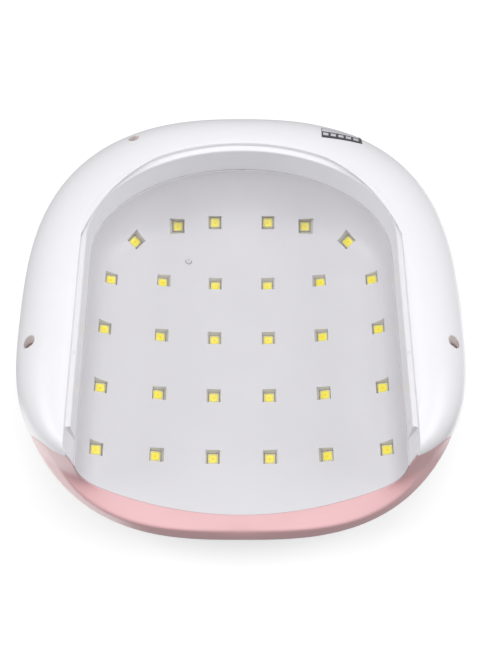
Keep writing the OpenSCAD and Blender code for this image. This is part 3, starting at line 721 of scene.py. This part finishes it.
# Front trim: a pale lip round the mouth, a soft crease and the visor's outer face
def build_trim():
    across, lip_rows, face_rows, widest = 240, 12, 26, math.pi / 2 * 0.92
    ws = np.sin(np.linspace(-1, 1, across + 1) * math.pi / 2 * 0.92) / math.sin(widest)
    front, back = [], []
    for w in ws:
        ix, iz = arch_in(w)
        cx, cz = arch_crease(w)
        a = np.array([ix, mouth(ix), iz])
        drop = 4 * math.sin(math.pi * abs(w))
        c = np.array([cx * (1 - drop / 445), front_y(cx, cz) - 0.32 * drop, cz - drop])
        row = []
        for k in range(lip_rows):
            t = k / lip_rows
            p = a + (c - a) * t
            p[1] -= 0.25 * math.sin(math.pi * t)
            p[2] -= 0.25 * math.sin(math.pi * t) * (1 - abs(w))
            row.append(p)
        for k in range(face_rows + 1):
            t = k / face_rows
            x, z = face_point(w, t)
            near = (1 - min(1.0, t / 0.452)) ** 1.5
            row.append(np.array([x, front_y(x, z), z])
                       + near * (c - np.array([cx, front_y(cx, cz), cz])))
        row = np.array(row)
        for _ in range(2):
            near = slice(lip_rows - 1, lip_rows + 2)
            soft = row.copy()
            soft[1:-1] = 0.5 * row[1:-1] + 0.25 * (row[:-2] + row[2:])
            row[near] = soft[near]
        inner = row.copy()
        part = np.minimum(1, np.arange(len(row)) / lip_rows)
        rest = 1 - 0.75 * abs(w) ** 8
        out = np.array([c[0] - a[0], c[2] - a[2]])
        out = out / max(1e-6, float(np.hypot(*out)))
        inner[:, 1] += 0.5 + 1.9 * part
        inner[:, 0] += out[0] * rest * 1.4 * (1 - 0.4 * part)
        inner[:, 2] += rest * 1.4 * np.maximum(0.4, out[1]) * (1 - 0.4 * part)
        edge = row[0] + np.array([0, 0.35, 0.1])
        row[0] = row[0] + (row[1] - row[0]) * 0.3
        front.append(np.vstack([edge, row]))
        back.append(np.vstack([inner[0], inner]))
    loops = [np.vstack([f, b[::-1]]) for f, b in zip(front, back)]
    rows = len(loops[0])
    verts = [tuple(p) for lp in loops for p in lp]
    faces = grid_faces(len(loops), rows, wrap_cols=True)
    faces.append(tuple(reversed(range(rows))))
    faces.append(tuple((len(loops) - 1) * rows + k for k in range(rows)))
    return make("visor_trim", verts, faces, sharp=50)


trim = build_trim()
dress(trim, PINK, stands_for=["front_trim"])

# LED boards: middle of the emitting face, heading and tilt, and the LEDs on each
PITCH_X, PITCH_Y = 27.2, 31.85
SIDE_X = PITCH_X / 2 / math.cos(math.radians(17))
ROWS = [(k - 1.5) * PITCH_Y for k in range(4)]
OUTER = [(m * SIDE_X - (1.6 if m > 0 and y == ROWS[3] else 0),
          y - (3 if m > 0 and y == ROWS[3] else 0)) for m in (-1, 1) for y in ROWS]
GROUPS = [
    ((0, -23.6, CROWN + 2.2), 0, 0, [(m * PITCH_X / 2, y) for m in (-1, 1) for y in ROWS]),
    ((2 * PITCH_X, -23.6, 43.9), 0, 17, OUTER),
    ((-2 * PITCH_X, -23.6, 43.9), 180, 17, [(x, -y) for x, y in OUTER]),
    ((0, 58.5, 43.9), 90, 33, [(0, -14), (0, 14), (-1.9, -33.7), (-1.9, 33.7)]),
    ((55.8, 46, 43), 38, 27, [(0, 0)]),
    ((-55.8, 46, 43), 142, 27, [(0, 0)])]


def board_matrix(at, heading, tilt):
    return (Matrix.Translation(at) @ Matrix.Rotation(math.radians(heading), 4, "Z")
            @ Matrix.Rotation(math.radians(tilt), 4, "Y"))


LEDS = [board_matrix(at, heading, tilt) @ Matrix.Translation((x, y, 0))
        for at, heading, tilt, places in GROUPS for x, y in places]


def frustum(matrix, low, low_z, high, high_z):
    """A square-based cutter along an LED's own axis."""
    verts = [matrix @ Vector((sx * h, sy * h, z)) for h, z in ((low / 2, low_z), (high / 2, high_z))
             for sx, sy in SQUARE]
    faces = [(3, 2, 1, 0), (4, 5, 6, 7)] + [(k, (k + 1) % 4, 4 + (k + 1) % 4, 4 + k)
                                            for k in range(4)]
    return make("tool", verts, faces)


def build_liner(name, thick):
    across, straight, round_n, proud = 150, 90, 90, 0.45

    def point(i, j, t):
        frac = math.sin(math.radians(180 * i / across - 90))
        if j <= straight:
            beta, st = 0.0, j / straight
        else:
            beta, st = math.radians((j - straight) * 88.5 / round_n), 1.0
        a = frac * math.cos(beta)
        x = a * (CAV_W - proud + t)
        front = mouth(x) + 0.4
        if st < 1:
            y = front + (CAV_Y - front) * st
        else:
            y = CAV_Y + (CAV_B - proud + t) * math.sin(beta)
        return (x, y, liner_z(a, math.sin(beta), t))

    m, n = straight + round_n + 1, across + 1
    inner = [point(i, j, 0.0) for j in range(m) for i in range(n)]
    outer = [point(i, j, thick) for j in range(m) for i in range(n)]
    faces = [tuple(reversed(f)) for f in grid_faces(m, n)]
    faces += grid_faces(m, n, start=m * n)
    o = m * n
    for j in range(m - 1):
        faces.append((j * n, (j + 1) * n, o + (j + 1) * n, o + j * n))
        a, b = j * n + n - 1, (j + 1) * n + n - 1
        faces.append((a, o + a, o + b, b))
    for i in range(n - 1):
        faces.append((i, o + i, o + i + 1, i + 1))
        a = (m - 1) * n + i
        faces.append((a, a + 1, o + a + 1, o + a))
    if thick < 0:
        faces = [tuple(reversed(f)) for f in faces]
    return make(name, inner + outer, faces, sharp=50)


# Each LED's pocket: a square hole in a box through the liner, flared towards the cavity
HOLE, POCKET_DEPTH, BOX_WALLS = 5.6, 10.0, 1.4
FLARED = HOLE + 0.5 * POCKET_DEPTH
liner = build_liner("cavity_liner", 2.0)
boxes = join("boxes", [frustum(m, FLARED + BOX_WALLS, -POCKET_DEPTH, HOLE + BOX_WALLS, 1.5)
                       for m in LEDS])
cut(boxes, build_liner("tool", -20.0), sharp=34)
cut(liner, boxes, "UNION", sharp=34)
flares = [frustum(m, FLARED, -POCKET_DEPTH, HOLE, 0.0) for m in LEDS]
cut(liner, join("tools", flares), sharp=34)
holes = [frustum(m, HOLE, -0.02, HOLE, 2.4) for m in LEDS]
cut(liner, join("tools", holes), sharp=34)
cut(liner, cyl("tool", 27.7, 36.8, 40, 60, 1.7, 32), sharp=34)
dress(liner, LINER, stands_for=["reflector_liner"])


# LED packages with a square cup, and the gel in it
def squircle(c, s, r):
    k = r / (abs(c) ** 5 + abs(s) ** 5) ** 0.2
    return c * k, s * k


def build_led(matrix):
    h, r_top, r_low = 2.5, 2.15, 1.9
    n, ch = 32, 0.14
    angles = [2 * math.pi * (k + 0.5) / n for k in range(n)]
    ring = [(math.cos(a), math.sin(a)) for a in angles]

    def square(half, z):
        out = []
        for c, s in ring:
            q = half / max(abs(c), abs(s))
            out.append((c * q, s * q, z))
        return out

    loops = [square(h, 1.6), square(h, ch), square(h - ch, 0.0),
             [(*squircle(c, s, r_top), 0.0) for c, s in ring],
             [(*squircle(c, s, r_low), 0.45) for c, s in ring]]
    verts = [matrix @ Vector(p) for lp in loops for p in lp]
    faces = grid_faces(len(loops), n, wrap_cols=True)
    faces.append(tuple(range(n)))
    faces.append(tuple(reversed([(len(loops) - 1) * n + k for k in range(n)])))
    return make("led", verts, faces, sharp=30)


leds = join("led_bodies", [build_led(m) for m in LEDS])
dress(leds, CREAM, stands_for=["led_packages"])


def build_gel():
    bm = bmesh.new()
    uv = bm.loops.layers.uv.new("gel")
    n, rings = 32, 6
    for m in LEDS:
        grid = [[bm.verts.new((m @ Vector((0, 0, 0.22))) * 0.001)]]
        local = {grid[0][0]: (0.0, 0.0)}
        for k in range(1, rings + 1):
            f = k / rings
            row = []
            for i in range(n):
                a = 2 * math.pi * i / n
                x, y = squircle(math.cos(a), math.sin(a), 2.12 * f)
                v = bm.verts.new((m @ Vector((x, y, 0.22 - 0.14 * f * f))) * 0.001)
                local[v] = (f * math.cos(a), f * math.sin(a))
                row.append(v)
            grid.append(row)
        under = bm.verts.new((m @ Vector((0, 0, 0.5))) * 0.001)
        local[under] = (0.0, 0.0)
        faces = []
        for i in range(n):
            i2 = (i + 1) % n
            faces.append(bm.faces.new((grid[0][0], grid[1][i2], grid[1][i])))
            for k in range(1, rings):
                near, far = grid[k], grid[k + 1]
                faces.append(bm.faces.new((near[i], near[i2], far[i2], far[i])))
            faces.append(bm.faces.new((grid[rings][i], grid[rings][i2], under)))
        for f in faces:
            f.smooth = True
            for lp in f.loops:
                lp[uv].uv = local[lp.vert]
    bmesh.ops.recalc_face_normals(bm, faces=bm.faces)
    mesh = bpy.data.meshes.new("led_gel_discs")
    bm.to_mesh(mesh)
    bm.free()
    obj = bpy.data.objects.new("led_gel_discs", mesh)
    bpy.context.collection.objects.link(obj)
    return obj


dress(build_gel(), GEL, stands_for=["led_lenses"])

# Control panel, display and buttons on the top
panel = slab("control_inlay", panel_outline(0.0), FLAT - 1.5, FLAT)
tools = [cyl("tool", x, BUTTON_Y, 80, 92, 4.8, 64) for x in BUTTONS.values()]
tools.append(slab("tool", display_outline(19.1, 9.1), 80, 92))
cut(panel, join("tools", tools))
bevel(panel, 0.3)
dress(panel, PANEL, stands_for=["control_panel"])
window = slab("timer_window", display_outline(19, 9), FLAT - 1.5, FLAT)
bevel(window, 0.35)
dress(window, GLASS_BLACK, stands_for=["display_window"])


def segments():
    """Two seven-segment digits, unlit, just under the window's surface."""
    bars = []
    w, h, t = 5.6, 10.4, 1.15
    for cx in (-4.6, 4.6):
        for x, y, across in ((0, h / 2, 1), (0, 0, 1), (0, -h / 2, 1), (-w / 2, h / 4, 0),
                             (w / 2, h / 4, 0), (-w / 2, -h / 4, 0), (w / 2, -h / 4, 0)):
            long, slim = (w / 2 - 0.35, t / 2) if across else (h / 4 - 0.35, t / 2)
            pts = [(-long, 0), (-long + slim, -slim), (long - slim, -slim), (long, 0),
                   (long - slim, slim), (-long + slim, slim)]
            if not across:
                pts = [(-b, a) for a, b in pts]
            bars.append(slab("bar", [(cx + x + a + 0.08 * (y + b), DISPLAY_Y + y + b)
                                     for a, b in pts], FLAT - 0.2, FLAT + 0.02))
    return join("digit_segments", bars)


dress(segments(), SEGMENT)


def cap(name, x):
    r = 4.5
    prof = [(0.001, 81.5), (1.35, 81.5), (1.5, 81.65), (1.5, 84.2), (5.6, 84.2), (5.75, 84.35),
            (5.75, 85.35), (5.6, 85.5), (r + 0.15, 85.5), (r, 85.65), (r, 89.35)]
    for a in np.radians([20, 40, 60, 80]):
        prof.append((r - 0.55 + 0.55 * math.cos(a), 89.35 + 0.5 * math.sin(a)))
    for f in (0.8, 0.6, 0.4, 0.2):
        prof.append((3.95 * f, 89.86 - 0.18 * (1 - f * f)))
    prof.append((0.001, 89.68))
    return lathe(name, prof, 64, (x, BUTTON_Y, 0))


for node, x in BUTTONS.items():
    dress(cap("cap_" + node[7:], x), PINK, node + "_cap", [node])


def numerals():
    """The timer's seconds, printed beside each button."""
    made = []
    for node, x in BUTTONS.items():
        curve = bpy.data.curves.new("digits", "FONT")
        curve.body = node[7:9]
        curve.align_x, curve.align_y = "CENTER", "CENTER"
        curve.size, curve.extrude = 0.0042, 0.00002
        text = bpy.data.objects.new("digits", curve)
        bpy.context.collection.objects.link(text)
        deps = bpy.context.evaluated_depsgraph_get()
        mesh = bpy.data.meshes.new_from_object(text.evaluated_get(deps))
        bpy.data.objects.remove(text)
        mesh.transform(Matrix.Translation((x * 0.001, (BUTTON_Y + 8.2) * 0.001,
                                           FLAT * 0.001 + 0.00001)))
        obj = bpy.data.objects.new("digits", mesh)
        bpy.context.collection.objects.link(obj)
        made.append(obj)
    return join("timer_numerals", made)


dress(numerals(), INK)


# Inlet at the back
turn = Matrix.Rotation(math.radians(-90), 4, "X")
INLET = (0, 103.2, 20)
jack_prof = [(2.9, -9.5), (2.9, 1.2), (3.1, 1.5), (3.8, 1.5), (4.0, 1.3), (4.0, -3.6), (5.2, -3.6),
             (5.4, -3.8), (5.4, -12.5), (1.2, -12.5), (1.2, -9.5)]
n = 64
verts = [tuple(Vector(INLET) + turn @ Vector((r * math.cos(2 * math.pi * k / n),
                                              r * math.sin(2 * math.pi * k / n), h)))
         for r, h in jack_prof for k in range(n)]
jack = make("inlet_body", verts, grid_faces(len(jack_prof), n, wrap_cols=True, wrap_rows=True))
dress(jack, BLACK, stands_for=["dc_jack"])
pin = lathe("inlet_pin", [(0.001, -12.0), (1.0, -12.0), (1.0, -1.2), (0.9, -0.8), (0.6, -0.55),
                          (0.001, -0.5)], 32, INLET, turn)
dress(pin, NICKEL)


# Case screws: pan heads with a cross recess, deep in their bosses
def screw(x, y):
    body = lathe("screw", [(0.001, 40.0), (1.5, 40.0), (1.5, 16.0), (2.75, 16.0), (2.75, 15.2),
                           (2.6, 14.6), (2.2, 14.1), (1.4, 13.85), (0.001, 13.8)], 48, (x, y, 0))
    for ang in (0, 90):
        m = Matrix.Rotation(math.radians(ang + 25), 4, "Z")
        pts = [m @ Vector((1.5 * sx, 0.36 * sy, 0)) for sx, sy in SQUARE]
        cut(body, slab("tool", [(x + p.x, y + p.y) for p in pts], 13.0, 14.9 + 0.001 * ang))
    return body


# The wells' walls, with a faint painted glow (emission) that brightens their shaded hollows
def well(x, y):
    tube = lathe("well", [(3.09, 14.0), (3.09, -2.0), (2.95, -2.0), (2.95, 14.0)], 40, (x, y, 0))
    cut(tube, closed_levels("tool", 0.35, 0.4, 20.0), "INTERSECT")
    return tube


dress(join("case_screw_wells", [well(x, y) for x, y in CASE_SCREWS]), WELL_PAINTED_GLOW)
dress(join("magnets", [cyl("magnet", x, y, 2.25, 4.9, 0.84, 24) for x, y in MAGNETS]), MAGNET,
      stands_for=["tray_magnets"])
dress(join("case_screw_heads", [screw(x, y) for x, y in CASE_SCREWS]), ZINC,
      stands_for=["case_screws"])


# Blank data label wrapped on the rear flank
def skin_z(x, y):
    """Height of the base's rounded flank over a place in plan."""
    low, high = 0.0, math.pi / 2
    for _ in range(40):
        mid = 0.5 * (low + high)
        a, b, f, p, q = level(min(PART * (1 - math.sin(mid)), PART - 1e-9))
        e = q if y >= CY else p
        inside = (abs(x) / a) ** e + (abs(y - CY) / (b if y >= CY else f)) ** e < 1
        low, high = (mid, high) if inside else (low, mid)
    return PART * (1 - math.sin(0.5 * (low + high)))


def patch(name, u0, u1, v0, v1, lift, nu=48, nv=24):
    """A thin closed sheet on the flank, over a box in the label's own frame."""
    at, ang, e = (-51.1, 86.3), math.radians(2.5), 0.05
    ca, sa = math.cos(ang), math.sin(ang)
    verts = []
    for side in (0.02, lift):
        for j in range(nv + 1):
            for i in range(nu + 1):
                u, v = u0 + (u1 - u0) * i / nu, v0 + (v1 - v0) * j / nv
                x, y = at[0] + u * ca - v * sa, at[1] + u * sa + v * ca
                z = skin_z(x, y)
                nx, ny = (skin_z(x + e, y) - z) / e, (skin_z(x, y + e) - z) / e
                k = 1 / math.sqrt(nx * nx + ny * ny + 1)
                verts.append((x + nx * k * side, y + ny * k * side, z - k * side))
    m, n = nv + 1, nu + 1
    faces = grid_faces(m, n) + [tuple(reversed(f)) for f in grid_faces(m, n, start=m * n)]
    border = list(range(n)) + [j * n + n - 1 for j in range(1, m)]
    border += [(m - 1) * n + i for i in range(n - 2, -1, -1)] + [j * n for j in range(m - 2, 0, -1)]
    for k, a in enumerate(border):
        b = border[(k + 1) % len(border)]
        faces.append((a, b, m * n + b, m * n + a))
    return make(name, verts, faces)


dress(patch("data_label", -10.4, 10.4, -4.8, 4.8, 0.2), LABEL_DARK,
      stands_for=["rating_label"])
dress(join("data_label_fields", [patch("field", -8.9, 10.2, 0.7, 4.3, 0.24, 32, 8)]
           + [patch("field", -8.6 + 3.9 * k, -5.9 + 3.9 * k, -2.9, -0.5, 0.24, 8, 6)
              for k in range(5)]), LABEL_LIGHT)

# What stays from the CAD model
STAYS = {
    "led_board_centre": LED_BOARD, "led_board_left": LED_BOARD, "led_board_right": LED_BOARD,
    "led_board_rear": LED_BOARD, "led_board_corner_left": LED_BOARD,
    "led_board_corner_right": LED_BOARD, "led_board_screws": STEEL, "control_board": BOARD,
    "power_inductor": COPPER, "capacitors": SLEEVE, "power_transistors": BLACK,
    "heat_sink": ALUMINIUM, "board_connectors": NYLON, "control_board_screws": STEEL,
    "panel_board": BOARD, "display_module": BLACK, "tact_switches": BLACK,
    "panel_board_screws": STEEL, "hand_sensor": SENSOR, "power_lead": WIRE_RED,
    "panel_lead": WIRE_GREY, "led_leads": WIRE_RED}
for node, mat in STAYS.items():
    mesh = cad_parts[node].data
    if not len(mesh.materials):
        mesh.materials.append(mat)
    for k in range(len(mesh.materials)):
        mesh.materials[k] = mat


# Stage: a floor seen from above and a table behind the dome seen from below
def one_sided(name, z, up, size):
    s = size / 2
    order = ((-s, -s), (s, -s), (s, s), (-s, s)) if up else ((-s, s), (s, s), (s, -s), (-s, -s))
    obj = make(name, [(x, y, z) for x, y in order], [(0, 1, 2, 3)], unit=1.0)
    if (obj.data.polygons[0].normal.z > 0) != up:
        obj.data.flip_normals()
    mat, tree, bsdf = nodes_of(name)
    link = tree.links.new
    out = tree.nodes["Material Output"]
    bsdf.inputs["Base Color"].default_value = (0.86, 0.86, 0.86, 1)
    bsdf.inputs["Roughness"].default_value = 0.9
    bsdf.inputs["Specular IOR Level"].default_value = 0.1
    glow = add(tree, "ShaderNodeEmission", Strength=0.22)
    both = add(tree, "ShaderNodeAddShader")
    link(bsdf.outputs[0], both.inputs[0])
    link(glow.outputs[0], both.inputs[1])
    side = add(tree, "ShaderNodeNewGeometry")
    clear = add(tree, "ShaderNodeBsdfTransparent")
    mix = add(tree, "ShaderNodeMixShader")
    link(side.outputs["Backfacing"], mix.inputs["Fac"])
    link(both.outputs[0], mix.inputs[1])
    link(clear.outputs[0], mix.inputs[2])
    link(mix.outputs[0], out.inputs["Surface"])
    obj.data.materials.append(mat)
    obj.visible_diffuse = obj.visible_glossy = obj.visible_transmission = False
    obj.visible_shadow = False
    return obj


one_sided("stage_floor", -0.0002, True, 4.0)
one_sided("stage_table", 0.0906, False, 2.4)


def lamp(name, at, size, power):
    """A round lamp turned towards the middle of the part."""
    data = bpy.data.lights.new(name, "AREA")
    data.shape, data.size, data.energy = "DISK", size, power
    obj = bpy.data.objects.new(name, data)
    obj.location = at
    obj.rotation_mode = "QUATERNION"
    obj.rotation_quaternion = (Vector((0, 0, 0.04)) - Vector(at)).to_track_quat("-Z", "Y")
    bpy.context.collection.objects.link(obj)


lamp("key_below", (0.02, -0.38, -0.97), 1.0, 4.4)
lamp("fill_below", (-0.1, 0.35, -1.05), 0.8, 1.8)
lamp("side_left", (0.95, -0.05, -0.6), 0.8, 4.3)
lamp("side_right", (-0.95, -0.05, -0.6), 0.8, 4.5)
lamp("key_above", (0.7, -0.1, 1.1), 0.9, 2.5)
lamp("fill_above", (-0.5, 0.6, 1.1), 0.9, 3.5)

world = bpy.data.worlds.new("studio")
bpy.context.scene.world = world
world.use_nodes = True
sky = world.node_tree
sky.nodes["Background"].inputs["Color"].default_value = (1, 1, 1, 1)
around = add(sky, "ShaderNodeTexCoord")
axes = add(sky, "ShaderNodeSeparateXYZ")
fade = add(sky, "ShaderNodeMapRange")
fade.inputs["From Min"].default_value, fade.inputs["From Max"].default_value = -0.95, -0.1
fade.inputs["To Min"].default_value, fade.inputs["To Max"].default_value = 0.25, 0.40
sky.links.new(around.outputs["Generated"], axes.inputs["Vector"])
sky.links.new(axes.outputs["Y"], fade.inputs["Value"])
sky.links.new(fade.outputs["Result"], sky.nodes["Background"].inputs["Strength"])

camera = bpy.data.cameras.new("camera")
camera.sensor_fit, camera.sensor_height, camera.sensor_width = "VERTICAL", 24.0, 24.0
camera.lens = 24.0 * 1000 / 672  # a focal length of 1000 px with a picture 672 px high
eye = bpy.data.objects.new("camera", camera)
bpy.context.collection.objects.link(eye)
eye.location = (0.0, -0.2407, -0.3988)
tilt = math.radians(27.6)
forward = Vector((0, math.sin(tilt), math.cos(tilt)))
upward = Vector((0, math.cos(tilt), -math.sin(tilt)))
side = forward.cross(upward)
eye.rotation_mode = "QUATERNION"
eye.rotation_quaternion = Matrix((side, upward, -forward)).transposed().to_quaternion()
bpy.context.scene.camera = eye
bpy.context.scene.view_settings.view_transform = "Standard"
